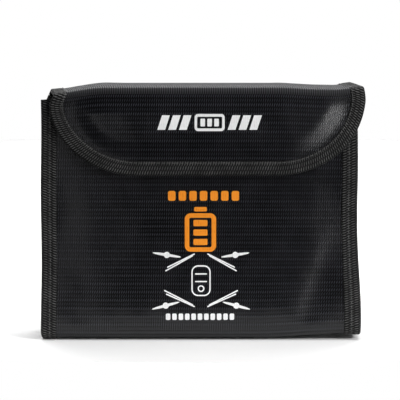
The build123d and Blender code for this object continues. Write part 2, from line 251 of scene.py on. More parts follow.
def puff(across, along):
    """How far the soft cloth stands out from its flat profile."""
    inside = HALF - np.abs(across)
    pillow = smooth(inside, 0.8 * SEAM_TAPE, 42 * MM) ** 0.8
    free = smooth(inside, 0.9 * SEAM_TAPE, 32 * MM)
    loose = slack(across, along)
    small = ripple(across, along, 11, 26 * MM)
    front = rise_and_fall(along, 30 * MM, 95 * MM, FRONT_END - 4 * MM, BOTTOM_START)
    bottom = rise_and_fall(
        along, BOTTOM_START, BOTTOM_START + 6 * MM, BOTTOM_END - 6 * MM, BOTTOM_END
    )
    back = rise_and_fall(along, BACK_START, BACK_START + 45 * MM, BACK_END - 45 * MM, BACK_END)
    lid = rise_and_fall(along, LID_START, LID_START + 12 * MM, LID_END - 12 * MM, LID_END)
    flap = smooth(along, FLAP_START, FLAP_START + 14 * MM)
    hem = smooth(along, STRIP_END - 22 * MM, STRIP_END)
    inner = inside_outline(across, along)
    flap_pillow = FLAP_SHOULDER * smooth(inner, 9 * MM, 26 * MM)
    flap_pillow = flap_pillow + FLAP_PILLOW * smooth(inner, 12 * MM, 50 * MM)
    out = front * (pillow * FRONT_PILLOW + free * (loose + small * 0.10 * MM))
    out = out + bottom * free * BOTTOM_SAG
    out = out + back * (pillow * BACK_PILLOW + free * (loose + small * 0.15 * MM))
    out = out + lid * (LID_PILLOW * pillow + free * loose)
    out = out + flap * (flap_pillow + free * (0.8 * loose + 0.10 * MM * small))
    return out + hem * HEM_LIFT * (1 + ripple(across, 0 * along, 5, 60 * MM))


ARCH = 2.8 * MM
LEFT_DROP = 4.6 * MM
RIGHT_DROP = 1.2 * MM
RIGHT_CORNER_LIFT = 1.6 * MM
FLARE = 3.0 * MM
DRAW_IN = 0.9 * MM
HEEL_LIFT = 2.7 * MM
HEEL_TUCK = 0.6 * MM
SEAM_WAVE = 0.5 * MM
SEAM_SNAKE = 0.35 * MM


def settle(points):
    """Small slumps of the whole pouch: an arched top, wavy seams, a flared lower right corner."""
    x, z = points[..., 0], points[..., 2]
    side = np.sign(x - BODY_SHIFT)
    out = np.abs(x - BODY_SHIFT)
    near_edge = smooth(out, HALF - 22 * MM, HALF)
    top = smooth(z, 118 * MM, LID)
    arch = ARCH - LEFT_DROP * smooth(-x, 64 * MM, 110 * MM)
    arch = arch - RIGHT_DROP * smooth(x, 50 * MM, 80 * MM)
    arch = arch + RIGHT_CORNER_LIFT * smooth(x, 88 * MM, 104 * MM)
    low_right = smooth(x, 70 * MM, HALF) * (1 - smooth(z, 10 * MM, 100 * MM))
    low_left = smooth(-x, 70 * MM, HALF) * (1 - smooth(z, 20 * MM, 90 * MM))
    lift = HEEL_LIFT * smooth(x, 35 * MM, 94 * MM) * (1 - smooth(z, 8 * MM, 60 * MM))
    tuck = (1 - smooth(z, 0.0, 4.5 * MM)) * smooth(out, HALF - 6 * MM, HALF)
    wave = near_edge * np.sin(z / (13 * MM) + 2 * side) * smooth(z, 0, 30 * MM)
    moved = np.array(points)
    moved[..., 0] += FLARE * low_right - DRAW_IN * low_left + HEEL_TUCK * tuck * (side < 0)
    moved[..., 0] += near_edge * SEAM_SNAKE * np.sin(z / (17 * MM) + side)
    moved[..., 1] += SEAM_WAVE * wave
    moved[..., 2] += top * arch + lift
    return moved


def round_corners(across, along):
    """Inward and downward moves that draw in the strip's edges over the lid and its folds."""
    edge = smooth(np.abs(across), HALF - 34 * MM, HALF - 6 * MM)
    lid = rise_and_fall(along, BACK_END - 7 * MM, LID_START, LID_END, FLAP_START + 7 * MM)
    narrowing = np.where(across < 0, 3.6 * MM, 1.2 * MM)
    return -np.sign(across) * lid * edge * narrowing, -lid * edge**2 * 0.3 * MM


def strip_at(across, along, out=0.0):
    """The folded place of a point on the flat strip, raised outward from the cloth's face."""
    across, along = np.broadcast_arrays(np.asarray(across, float), np.asarray(along, float))
    rise = np.asarray(out) + puff(across, along)
    y = np.interp(along, profile_marks, profile[:, 0])
    z = np.interp(along, profile_marks, profile[:, 1])
    normal_y, normal_z = profile_normal(along)
    inward, drop = round_corners(across, along)
    x = across + shift_at(along) + inward
    return settle(np.stack((x, y + normal_y * rise, z + normal_z * rise + drop), axis=-1))


def strip_beyond(across, along, out=0.0):
    """strip_at, carried on straight above the mouth, where only the seam tape runs."""
    above = np.clip(-np.asarray(along), 0.0, None)
    points = strip_at(across, np.clip(along, 0.0, None), out)
    points[..., 2] += above
    return points


def rib_height(along):
    """Height of the woven ribs, strong and weak by turns, and fuller on the untensioned lid."""
    wave = (0.5 - 0.5 * np.cos(2 * math.pi * along / RIB)) ** 0.8
    strong = 0.72 + 0.28 * np.cos(math.pi * np.floor(along / RIB))
    on_lid = rise_and_fall(along, LID_START, LID_START + 8 * MM, LID_END, LID_END + 8 * MM)
    return RIB_HEIGHT * wave * strong * (1 + LID_FULLNESS * on_lid)


# --- Mesh helpers ---


def add_object(name, data):
    """A new object in the scene."""
    made = bpy.data.objects.new(name, data)
    bpy.context.scene.collection.objects.link(made)
    return made


def make_piece(name, points, faces, material, weave=None):
    """A smooth-shaded mesh object, with its place in the flat cloth kept for the weave."""
    mesh = bpy.data.meshes.new(name)
    mesh.from_pydata(np.asarray(points, float).reshape(-1, 3).tolist(), [], faces)
    mesh.validate()
    mesh.shade_smooth()
    if weave is not None:
        flat = np.zeros((len(mesh.vertices), 3), np.float32)
        flat[:, :2] = np.asarray(weave, float).reshape(-1, 2)
        stored = mesh.attributes.new("weave", "FLOAT_VECTOR", "POINT")
        stored.data.foreach_set("vector", flat.ravel())
    mesh.materials.append(material)
    return add_object(name, mesh)


def grid_faces(rows, columns, close_columns=False, flip=False):
    """Quads that join a grid of points."""
    faces = []
    for row in range(rows - 1):
        for column in range(columns if close_columns else columns - 1):
            a = row * columns + column
            b = row * columns + (column + 1) % columns
            c, d = b + columns, a + columns
            faces.append((a, d, c, b) if flip else (a, b, c, d))
    return faces


def spaced(start, end, step):
    """Evenly spaced numbers from start to end, about a step apart."""
    return np.linspace(start, end, max(2, int(round(abs(end - start) / step)) + 1))


def distances(path):
    """Distance along a path at each of its points."""
    steps = np.linalg.norm(np.diff(path, axis=0), axis=1)
    return np.concatenate(([0.0], np.cumsum(steps)))


def flat_points(across, along):
    """Places on the flat pattern."""
    return np.stack(np.broadcast_arrays(across, along), axis=-1)


def strip_rows(start, end):
    """Rows of the cloth between two places along it: whole rib steps, and both ends."""
    first = math.ceil(start / ROW - 0.01)
    last = math.floor(end / ROW + 0.01)
    rows = np.arange(first, last + 1) * ROW
    return np.concatenate(([start], rows[(rows > start + 1e-6) & (rows < end - 1e-6)], [end]))


def outline_half(along, inset):
    """Half the strip's width at a place along it, where the flap's corners are cut round."""
    start = STRIP_END - CORNER_ALONG
    t = np.clip((along - start) / (CORNER_ALONG - inset), 0.0, 1.0)
    return HALF - CORNER_ACROSS + (CORNER_ACROSS - inset) * np.sqrt(1 - t**2)


def cloth_sheet(name, start, end, material, out=0.0, inset=0.0, ribbed=True, flip=False):
    """A stretch of the strip as one sheet, a row of points for each step along it."""
    end = min(end, STRIP_END - inset)
    rows = strip_rows(start, end)
    columns = int(round(2 * (HALF - inset) / COLUMN)) + 1
    share = np.linspace(-1, 1, columns)
    half = outline_half(rows, inset)
    across = half[:, None] * share[None, :]
    along = np.repeat(rows[:, None], columns, axis=1)
    rise = out + (rib_height(along) if ribbed else 0.0)
    points = strip_at(across, along, rise)
    faces = grid_faces(len(rows), columns, flip=flip)
    return make_piece(name, points, faces, material, flat_points(across, along))


# --- Slack of the cloth, by simulation ---

SLACK_STEP = 5.5 * MM
SLACK_CAP = 0.75 * MM
SLACK_FRAMES = 20
OVERSIZE = 0.0015
PRESSURE = 0.2
PIN_REACH = 6 * MM
slack_across = np.linspace(-HALF, HALF, round(2 * HALF / SLACK_STEP))
slack_along = np.linspace(0.0, STRIP_END, round(STRIP_END / SLACK_STEP))
slack_grid = np.zeros((len(slack_along), len(slack_across)))


def spline_weights(t):
    """Shares of four neighbouring points in a smooth curve, t past the second of them."""
    ends = ((1 - t) ** 3 / 6, t ** 3 / 6)
    second = (3 * t ** 3 - 6 * t ** 2 + 4) / 6
    return ends[0], second, 1 - ends[0] - ends[1] - second, ends[1]


def slack(across, along):
    """How far the simulated cloth stands out at a point, read smoothly between its vertices."""
    u = np.interp(across, slack_across, np.arange(len(slack_across)))
    v = np.interp(along, slack_along, np.arange(len(slack_along)))
    column = np.minimum(u.astype(int), len(slack_across) - 2)
    row = np.minimum(v.astype(int), len(slack_along) - 2)
    table = np.pad(slack_grid, 1, mode="edge")
    total = 0.0
    for i, row_share in enumerate(spline_weights(v - row)):
        for j, column_share in enumerate(spline_weights(u - column)):
            total = total + row_share * column_share * table[row + i, column + j]
    return total


def held_share(across, along):
    """1 where the strip is sewn, folded or hemmed, falling to 0 where the cloth is loose."""
    share = 1 - smooth(HALF - np.abs(across), SEAM_TAPE, SEAM_TAPE + PIN_REACH)
    for line in (0.0, BOTTOM_START, BOTTOM_END, LID_START, LID_END, STRIP_END):
        share = np.maximum(share, 1 - smooth(np.abs(along - line), 5 * MM, 10 * MM))
    return share


def simulate_slack():
    """Settle a coarse copy of the strip as slightly oversize cloth, held along its seams."""
    across, along = np.meshgrid(slack_across, slack_along)
    start = strip_at(across, along)
    mesh = bpy.data.meshes.new("slack")
    faces = grid_faces(len(slack_along), len(slack_across), flip=True)
    mesh.from_pydata(start.reshape(-1, 3).tolist(), [], faces)
    cloth = add_object("slack", mesh)
    pins = cloth.vertex_groups.new(name="pins")
    for index, share in enumerate(held_share(across, along).ravel()):
        pins.add([index], float(share), "REPLACE")
    settings = cloth.modifiers.new("Cloth", "CLOTH").settings
    settings.quality = 8
    settings.mass = 0.02
    settings.tension_stiffness = 30
    settings.compression_stiffness = 30
    settings.shear_stiffness = 15
    settings.bending_stiffness = 8
    settings.vertex_group_mass = "pins"
    settings.shrink_min = -OVERSIZE
    settings.use_pressure = True
    settings.uniform_pressure_force = PRESSURE
    for step in range(1, SLACK_FRAMES + 1):
        bpy.context.scene.frame_set(step)
    evaluated = cloth.evaluated_get(bpy.context.evaluated_depsgraph_get())
    settled = np.zeros(start.size)
    evaluated.data.vertices.foreach_get("co", settled)
    bpy.context.scene.frame_set(1)
    bpy.data.objects.remove(cloth)
    moved = settled.reshape(start.shape) - start
    normal_y, normal_z = profile_normal(along)
    outward = moved[..., 1] * normal_y + moved[..., 2] * normal_z
    return SLACK_CAP * np.tanh(outward / SLACK_CAP)


# --- Materials ---


class Nodes:
    """Short calls for building one material's node tree."""

    def __init__(self, name):
        self.material = bpy.data.materials.new(name)
        self.material.use_nodes = True
        self.tree = self.material.node_tree
        self.shader = self.tree.nodes["Principled BSDF"]

    def add(self, kind, **inputs):
        node = self.tree.nodes.new(kind)
        for key, value in inputs.items():
            self.set(node, key.replace("_", " "), value)
        return node

    def set(self, node, key, value):
        socket = node.inputs[key]
        if isinstance(value, bpy.types.NodeSocket):
            self.tree.links.new(value, socket)
        else:
            socket.default_value = value

    def math(self, operation, a, b=0.0, c=0.0):
        node = self.tree.nodes.new("ShaderNodeMath")
        node.operation = operation
        for index, value in enumerate((a, b, c)):
            self.set(node, index, value)
        return node.outputs[0]

    def wave(self, distance, pitch, phase=0.0):
        """A wave from 0 to 1 that repeats every pitch."""
        angle = self.math("MULTIPLY_ADD", distance, 2 * math.pi / pitch, phase)
        return self.math("MULTIPLY_ADD", self.math("SINE", angle), 0.5, 0.5)

    def noise(self, scale, detail=2.0):
        """Noise fixed to the piece, its scale per metre."""
        place = self.tree.nodes.new("ShaderNodeTexCoord").outputs["Object"]
        node = self.add("ShaderNodeTexNoise", Scale=scale, Detail=detail, Vector=place)
        return node.outputs["Fac"]

    def weave(self):
        """Distances across and along the flat cloth."""
        stored = self.tree.nodes.new("ShaderNodeAttribute")
        stored.attribute_name = "weave"
        parts = self.tree.nodes.new("ShaderNodeSeparateXYZ")
        self.tree.links.new(stored.outputs["Vector"], parts.inputs[0])
        return parts.outputs[0], parts.outputs[1]

    def ramp(self, value, stops):
        """Colours by value."""
        node = self.tree.nodes.new("ShaderNodeValToRGB")
        elements = node.color_ramp.elements
        while len(elements) < len(stops):
            elements.new(0.5)
        for element, (position, colour) in zip(elements, stops):
            element.position = position
            element.color = (*colour, 1.0)
        self.tree.links.new(value, node.inputs[0])
        return node.outputs[0]

    def between(self, value, low, high):
        """A value from 0 to 1 spread over another range."""
        return self.math("MULTIPLY_ADD", value, high - low, low)

    def finish(self, colour, roughness, height, depth, **fixed):
        """Connect colour, roughness and bump, and set what is the same all over."""
        bump = self.add("ShaderNodeBump", Height=height, Distance=depth, Strength=1.0)
        self.set(self.shader, "Base Color", colour)
        self.set(self.shader, "Roughness", roughness)
        self.set(self.shader, "Normal", bump.outputs[0])
        for key, value in fixed.items():
            self.set(self.shader, key.replace("_", " "), value)
        return self.material


def coated_cloth():
    """Black coated glass cloth: a row of thread crowns on each rib, strong and weak by turns.

    On the lid the crowns line up and the valleys between them are matt.
    """
    n = Nodes("coated_cloth")
    across, along = n.weave()
    rib = n.math("FLOOR", n.math("DIVIDE", along, RIB))
    crest = n.wave(along, RIB, -math.pi / 2)
    from_lid = n.math("ABSOLUTE", n.math("SUBTRACT", along, LID_MIDDLE))
    off_lid = n.math("GREATER_THAN", from_lid, (LID_END - LID_START) / 2 + 6 * MM)
    lean = n.math("MULTIPLY_ADD", along, 0.3, n.math("MULTIPLY", rib, 0.5 * THREAD_GAP))
    thread = n.wave(n.math("MULTIPLY_ADD", lean, off_lid, across), THREAD_GAP)
    thread = n.math("POWER", thread, 1.3)
    gap_depth = n.between(off_lid, 0.3, 0.5)
    breaks = n.math("MULTIPLY_ADD", n.math("SUBTRACT", crest, 1.0), gap_depth, 1.0)
    by_turns = n.between(n.wave(along, 2 * RIB), 0.75, 1.0)
    crown = n.math("MULTIPLY", thread, n.math("MULTIPLY", breaks, by_turns))
    patches = n.noise(60.0, 3.0)
    grain = n.noise(1500.0, 2.0)
    # Painted light in the colour: the thread crowns are painted lighter as a painted highlight, and
    # the gaps between threads and ribs near black as painted shade; the noise patches are the
    # cloth's own tone.
    tone = n.math("MULTIPLY_ADD", patches, 0.25, n.math("MULTIPLY", crown, 0.75))
    colour = n.ramp(tone, ((0.30, (0.0003, 0.0003, 0.0006)), (0.88, (0.042, 0.043, 0.052))))
    valley = n.math("MULTIPLY", n.math("SUBTRACT", 1.0, crown), n.between(off_lid, 0.8, 0.05))
    gloss = n.math("ADD", valley, n.between(patches, 0.17, 0.22))
    height = n.math("MULTIPLY_ADD", grain, 0.15, crown)
    return n.finish(colour, gloss, height, 0.035 * MM, Specular_IOR_Level=0.4)


def lining_cloth():
    """Grey plain-woven glass cloth, matt."""
    n = Nodes("lining_cloth")
    across, along = n.weave()
    warp = n.wave(across, LINING_THREAD)
    weft = n.wave(along, LINING_THREAD)
    cell = n.math("ABSOLUTE", n.math("SUBTRACT", warp, weft))
    patches = n.noise(45.0, 3.0)
    tone = n.math("MULTIPLY_ADD", patches, 0.5, n.math("MULTIPLY", cell, 0.5))
    colour = n.ramp(tone, ((0.1, (0.13, 0.135, 0.14)), (0.9, (0.27, 0.275, 0.28))))
    return n.finish(colour, n.between(patches, 0.55, 0.75), cell, 0.18 * MM)


def binding_tape():
    """Woven binding: rows of slanted threads in three columns, dark, with the strands painted
    lighter as painted highlight and the grooves between columns painted darker as painted shade.
    """
    n = Nodes("binding_tape")
    across, along = n.weave()
    column = n.math("FLOOR", n.math("DIVIDE", across, TAPE_COLUMN))
    slant = n.math("MULTIPLY_ADD", across, 0.28, along)
    stagger = n.math("MULTIPLY_ADD", column, 0.25 * TAPE_THREAD, slant)
    strand = n.math("POWER", n.wave(stagger, TAPE_THREAD), 1.6)
    groove = n.math("POWER", n.wave(across, TAPE_COLUMN, math.pi / 2), 3.0)
    raised = n.math("MULTIPLY", strand, n.math("MULTIPLY_ADD", groove, -0.4, 1.0))
    fuzz = n.noise(1100.0, 3.0)
    patches = n.noise(90.0, 3.0)
    light = n.between(patches, 0.35, 1.25)
    # Colour: strands painted lighter as painted highlight, grooves painted darker as painted shade;
    # the patches and fuzz are the tape's own tone.
    tone = n.math("MULTIPLY", raised, n.math("MULTIPLY", light, n.between(fuzz, 0.7, 1.3)))
    dark = (0.15, (0.0015, 0.0015, 0.0015))
    middle = (0.40, (0.009, 0.009, 0.0092))
    colour = n.ramp(tone, (dark, middle, (0.90, (0.13, 0.13, 0.128))))
    height = n.math("MULTIPLY_ADD", fuzz, 0.2, raised)
    rough = n.between(patches, 0.75, 0.9)
    return n.finish(colour, rough, height, 0.5 * MM, Specular_IOR_Level=0.25)


def thread():
    """Twisted polyester thread, a little lighter than the tape."""
    n = Nodes("thread")
    twist = n.noise(2600.0, 1.0)
    patches = n.noise(120.0, 2.0)
    colour = n.ramp(patches, ((0.3, (0.05, 0.05, 0.05)), (0.7, (0.11, 0.11, 0.11))))
    return n.finish(colour, n.between(twist, 0.45, 0.7), twist, 0.08 * MM)


def fastener(name, dark, light, roughness, bump_scale):
    """Hook or loop tape: black, with a fine broken surface."""
    n = Nodes(name)
    fuzz = n.noise(bump_scale, 4.0)
    patches = n.noise(90.0, 2.0)
    tone = n.math("MULTIPLY_ADD", fuzz, 0.7, n.math("MULTIPLY", patches, 0.3))
    colour = n.ramp(tone, ((0.3, dark), (0.75, light)))
    return n.finish(colour, n.between(patches, *roughness), fuzz, 0.25 * MM)


def film(name, colour, worn):
    """Printed film that follows the weave, patchily worn, and a little darker between its threads.
    """
    n = Nodes(name)
    threads = n.wave(n.weave()[0], THREAD_GAP)
    wear = n.noise(420.0, 4.0)
    tone = n.math("MULTIPLY_ADD", threads, 0.25, n.math("MULTIPLY", wear, 0.75))
    shade = n.ramp(tone, ((0.22, worn), (0.45, colour)))
    return n.finish(shade, n.between(wear, 0.38, 0.55), threads, 0.05 * MM)


CLOTH_LOOK = coated_cloth()
LINING_LOOK = lining_cloth()
TAPE_LOOK = binding_tape()
THREAD_LOOK = thread()
HOOK_LOOK = fastener(
    "fastener_hooks", (0.010, 0.010, 0.011), (0.045, 0.045, 0.048), (0.3, 0.5), 900.0
)
LOOP_LOOK = fastener(
    "fastener_loops", (0.006, 0.006, 0.006), (0.030, 0.030, 0.031), (0.8, 0.95), 1400.0
)
ORANGE_LOOK = film("orange_film", (1.0, 0.31, 0.006), (0.80, 0.22, 0.004))
WHITE_LOOK = film("white_film", (0.97, 0.97, 0.97), (0.80, 0.80, 0.80))


# --- Joining pieces to the frame ---


def on_body(body, piece, slot, nodes):
    """Fix a piece to one body."""
    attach(piece, body)
    if nodes:
        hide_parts(*nodes)


def on_bag(piece, slot, *nodes):
    """Fix a piece to the bag's body."""
    on_body("bag", piece, slot, nodes)


def on_flap(piece, slot, *nodes):
    """Fix a piece to the flap's body."""
    on_body("flap", piece, slot, nodes)


def over_back_fold(piece, slot, *nodes):
    """Keep a piece where it was built, its transform baked into its mesh, and hide the given frame
    parts.
    """
    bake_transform(piece)
    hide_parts(*nodes)


def over_front_fold(piece, slot, *nodes):
    """Keep a piece where it was built, its transform baked into its mesh, and hide the given frame
    parts.
    """
    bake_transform(piece)
    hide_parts(*nodes)


# --- Outer cloth and lining ---

BACK_SPLIT = along_back(LID - 12 * MM)


def make_strip():
    """The coated strip in three lengths: the bag, the lid's fold, and the flap's fold."""
    body = cloth_sheet("wrap_cloth", 0.0, BACK_SPLIT, CLOTH_LOOK, inset=EDGE_INSET)
    on_bag(body, "coated_cloth", "front_panel", "bottom_panel", "back_panel")
    lid = cloth_sheet("lid_cloth", BACK_SPLIT, LID_MIDDLE, CLOTH_LOOK, inset=EDGE_INSET)
    over_back_fold(lid, "coated_cloth", "lid_panel")
    flap = cloth_sheet("flap_cloth", LID_MIDDLE, STRIP_END, CLOTH_LOOK, inset=EDGE_INSET)
    over_front_fold(flap, "coated_cloth", "flap_panel")


def make_linings():
    """The lining, behind the strip from the mouth to the flap."""
    depth = -(CLOTH + LINER)
    body = cloth_sheet(
        "pocket_lining", 0.3 * MM, BACK_SPLIT, LINING_LOOK, depth, WALL + 0.3 * MM, False, True
    )
    on_bag(body, "lining_cloth", "front_liner", "bottom_liner", "back_liner")
    lid = cloth_sheet(
        "lid_lining", BACK_SPLIT, LID_MIDDLE, LINING_LOOK, depth, LINING_INSET, False, True
    )
    over_back_fold(lid, "lining_cloth", "lid_liner")
    flap = cloth_sheet(
        "flap_lining", LID_MIDDLE, STRIP_END, LINING_LOOK, depth, LINING_INSET, False, True
    )
    over_front_fold(flap, "lining_cloth", "flap_liner")


# --- Binding tape ---


def tape_dip(inset, width, row):
    """How far a tape sinks where it is stitched, and thins at its selvage."""
    at_row = np.exp(-(((inset - row) / DIP_WIDTH) ** 2))
    return ROW_DIP * at_row + SELVAGE_DIP * smooth(inset, width - 1.0 * MM, width)


def tape_section(width, inner, row, steps=9):
    """A folded tape's closed section: (inset from the edge, rise from the cloth's face)."""
    nose = (TAPE + inner) / 2
    middle = (TAPE - inner) / 2
    section = []
    for share in np.linspace(1, 0, steps):
        inset = nose + (width - nose) * share
        section.append((inset, TAPE - tape_dip(inset, width, row)))
    for angle in np.linspace(0, math.pi, 8)[1:-1]:
        section.append((nose - nose * math.sin(angle), middle + nose * math.cos(angle)))
    for share in np.linspace(0, 1, steps):
        inset = nose + (width - nose) * share
        section.append((inset, -inner + tape_dip(inset, width, row)))
    section.append((width, -inner + TAPE))
    section.append((nose + TAPE, -inner + TAPE))
    section.append((nose + TAPE, 0.0))
    section.append((width, 0.0))
    return np.array(section)


def sweep_tape(name, edge, inward, section, place):
    """Carry a tape's section along an edge of the flat pattern. place() puts it in space."""
    inward = np.broadcast_to(inward, edge.shape)
    distance = distances(edge)
    pucker = PUCKER * np.cos(2 * math.pi * distance / STITCH_PITCH)
    flat = edge[:, None, :] + inward[:, None, :] * section[None, :, 0:1]
    rise = np.broadcast_to(section[None, :, 1], flat.shape[:2]) + pucker[:, None]
    points = place(flat[..., 0], flat[..., 1], rise)
    rows, columns = rise.shape
    faces = grid_faces(rows, columns, close_columns=True)
    faces.append(tuple(range(columns)))
    faces.append(tuple(range((rows - 1) * columns, rows * columns))[::-1])
    weave = flat_points(distances(section)[None, :], distance[:, None])
    return make_piece(name, points, faces, TAPE_LOOK, weave)


def edge_normals(edge):
    """Unit vectors square to a flat path, to its left."""
    step = np.gradient(edge, axis=0)
    step /= np.linalg.norm(step, axis=1)[:, None]
    return flat_points(-step[:, 1], step[:, 0])


SEAM_SECTION = tape_section(SEAM_TAPE, SEAM_DEPTH, SEAM_ROW)
EDGE_SECTION = tape_section(EDGE_TAPE, EDGE_DEPTH, EDGE_ROW)
MOUTH_SECTION = tape_section(MOUTH_TAPE, EDGE_DEPTH, MOUTH_ROW)


def flap_outline():
    """The strip's edge from the lid's left back end round the flap to its right back end."""
    corner = STRIP_END - CORNER_ALONG
    to_middle = spaced(along_back(SEAM_TOP + 0.4 * MM), LID_MIDDLE, 1.0 * MM)
    side_run = np.concatenate((to_middle, spaced(LID_MIDDLE, corner, 1.0 * MM)[1:]))
    side = flat_points(-HALF, side_run)
    bend = np.linspace(0, math.pi / 2, 70)[1:]
    across = -(HALF - CORNER_ACROSS) - CORNER_ACROSS * np.cos(bend)
    rounded = flat_points(across, corner + CORNER_ALONG * np.sin(bend))
    hem = flat_points(spaced(-(HALF - CORNER_ACROSS), 0.0, 2.0 * MM)[1:], STRIP_END)
    left = np.concatenate((side, rounded, hem))
    right = left[::-1][1:] * np.array((-1.0, 1.0))
    return np.concatenate((left, right))


def split_outline():
    """The outline, its inward normals, and its points on the left lid, right lid and flap."""
    outline = flap_outline()
    inward = edge_normals(outline)
    inward = inward if inward[0][0] > 0 else -inward
    half = len(outline) // 2
    place = np.arange(len(outline))
    on_lid = outline[:, 1] <= LID_MIDDLE + 1e-6
    left_lid, right_lid = place[on_lid & (place < half)], place[on_lid & (place > half)]
    return outline, inward, left_lid, right_lid, place[left_lid[-1] : right_lid[0] + 1]


def make_bindings():
    """Tape round the edges of the strip: two seams, the mouth, the lid's sides and the flap."""
    start, end = along_front(SEAM_TOP), along_back(SEAM_TOP)
    for name, side in SIDES:
        run = spaced(start, end, 1.2 * MM)
        edge = flat_points(side * HALF, run)
        tape = sweep_tape(f"{name}_seam_tape", edge, (-side, 0.0), SEAM_SECTION, strip_beyond)
        on_bag(tape, "binding_tape", f"{name}_seam_binding")
    run = spaced(-(HALF - SEAM_TAPE), HALF - SEAM_TAPE, 1.2 * MM)
    edge = flat_points(run, -TAPE)
    tape = sweep_tape("mouth_tape", edge, (0.0, 1.0), MOUTH_SECTION, strip_beyond)
    on_bag(tape, "binding_tape", "mouth_binding")
    outline, inward, left_lid, right_lid, flap_part = split_outline()
    for name, pick in (("left", left_lid), ("right", right_lid)):
        tape = sweep_tape(f"{name}_lid_tape", outline[pick], inward[pick], EDGE_SECTION, strip_at)
        over_back_fold(tape, "binding_tape", f"{name}_lid_binding")
    tape = sweep_tape("flap_tape", outline[flap_part], inward[flap_part], EDGE_SECTION, strip_at)
    over_front_fold(tape, "binding_tape", "flap_binding")
    around = distances(outline[flap_part])[-1]


# --- Gussets ---


def gusset_at(side, y, z, out=0.0):
    """A side wall's place: it turns out into the seams and folds in down its middle."""
    bend = GUSSET_BEND
    turn = 0.0
    for gap in (y - FRONT - CLOTH, BACK - CLOTH - y, z - BASE - CLOTH):
        left = np.clip(bend - gap, 0.0, bend)
        turn = np.maximum(turn, bend - np.sqrt(bend**2 - left**2))
    from_middle = np.abs(y - (FRONT + BACK) / 2) / ((BACK - FRONT) / 2)
    crease = np.clip(1 - from_middle, 0, 1)
    fold = GUSSET_FOLD * crease**1.2 * smooth(z, 10 * MM, gusset_top)
    waves = 0.5 * MM * ripple(y, z, 20 + side, 30 * MM) * crease
    inset = SEAM_TAPE - turn + fold + waves
    x = BODY_SHIFT + side * (HALF - inset + out)
    return settle(np.stack(np.broadcast_arrays(x, y, z), axis=-1))


def inside_bends(y, z):
    """Pull a side wall's lower corners in to the strip's round bends."""
    middle_y = np.clip(y, FRONT + BOTTOM_BEND, BACK - BOTTOM_BEND)
    middle_z = np.maximum(z, BASE + BOTTOM_BEND)
    far = np.hypot(y - middle_y, z - middle_z)
    pull = np.minimum(1.0, (BOTTOM_BEND - CLOTH) / np.maximum(far, 0.01 * MM))
    return middle_y + (y - middle_y) * pull, middle_z + (z - middle_z) * pull


def gusset_sheet(name, side, look, out, flip):
    """One layer of a side wall."""
    rows, columns = 110, 40
    turn = 0.5 - 0.5 * np.cos(math.pi * np.linspace(0, 1, columns))
    y = FRONT + CLOTH + (BACK - FRONT - 2 * CLOTH) * turn
    z = BASE + CLOTH + (gusset_top - TAPE - BASE - CLOTH) * np.linspace(0, 1, rows) ** 1.25
    grid_y, grid_z = inside_bends(*np.meshgrid(y, z))
    points = gusset_at(side, grid_y, grid_z, out)
    faces = grid_faces(rows, columns, flip=flip)
    piece = make_piece(name, points, faces, look, flat_points(grid_y, grid_z))
    return piece


def make_gussets():
    """Both side walls, their linings, and the tape over their upper edges."""
    for name, side in SIDES:
        wall = gusset_sheet(f"{name}_gusset_cloth", side, CLOTH_LOOK, 0.0, side < 0)
        on_bag(wall, "coated_cloth", f"{name}_gusset")
        lining = gusset_sheet(
            f"{name}_gusset_lining", side, LINING_LOOK, -(CLOTH + LINER), side > 0
        )
        on_bag(lining, "lining_cloth", f"{name}_gusset_liner")
        run = spaced(FRONT + SEAM_DEPTH, BACK - SEAM_DEPTH, 1.0 * MM)
        edge = flat_points(run, 0.0)

        def place(y, below, out, side=side):
            return gusset_at(side, y, gusset_top - below, out)

        section = tape_section(GUSSET_TAPE, EDGE_DEPTH, GUSSET_ROW)
        tape = sweep_tape(f"{name}_gusset_tape", edge, (0.0, 1.0), section, place)
        on_bag(tape, "binding_tape", f"{name}_gusset_binding")


# --- Stitches ---


def thread_tubes(name, lines, radii, sides, material):
    """Many short threads at once: lines is (thread, point, xyz), radii one number per point."""
    step = np.gradient(lines, axis=1)
    step /= np.linalg.norm(step, axis=2, keepdims=True) + 1e-12
    guide = np.where(np.abs(step[..., 2:3]) > 0.8, (0.0, 1.0, 0.0), (0.0, 0.0, 1.0))
    first = np.cross(step, guide)
    first /= np.linalg.norm(first, axis=2, keepdims=True)
    second = np.cross(step, first)
    angles = np.arange(sides) * 2 * math.pi / sides
    ring = (
        first[:, :, None, :] * np.cos(angles)[None, None, :, None]
        + second[:, :, None, :] * np.sin(angles)[None, None, :, None]
    )
    points = lines[:, :, None, :] + ring * np.asarray(radii)[None, :, None, None]
    threads, rows = lines.shape[:2]
    one = grid_faces(rows, sides, close_columns=True, flip=True)
    one.append(tuple(range(sides)))
    one.append(tuple(range((rows - 1) * sides, rows * sides))[::-1])
    faces = []
    for start in range(0, threads * rows * sides, rows * sides):
        faces += [tuple(start + corner for corner in face) for face in one]
    return make_piece(name, points, faces, material)


def stitch_lines(path, place, out):
    """Centre lines of a row of stitches along a flat path. Each dips into the cloth at its ends."""
    distance = distances(path)
    count = int(distance[-1] / STITCH_PITCH)
    share = np.linspace(-1, 1, 7)
    middle = (np.arange(count) + 0.5) * distance[-1] / count
    at = middle[:, None] + share[None, :] * STITCH_LENGTH / 2
    across = np.interp(at, distance, path[:, 0])
    along = np.interp(at, distance, path[:, 1])
    height = np.sign(out) * THREAD_RADIUS * (1.2 - 2.6 * share**4)
    return place(across, along, out + height[None, :])


def stitches(name, rows):
    """Stitches for several rows, each (path, place, height from the cloth's face)."""
    lines = np.concatenate([stitch_lines(*row) for row in rows])
    radii = THREAD_RADIUS * np.array((0.55, 0.9, 1.0, 1.05, 1.0, 0.9, 0.55))
    return thread_tubes(name, lines, radii, 6, THREAD_LOOK)


def both_faces(path, place, depth):
    """A row of stitches as it shows outside and, that much deeper, inside."""
    return [(path, place, TAPE - ROW_DIP), (path, place, -depth + ROW_DIP)]


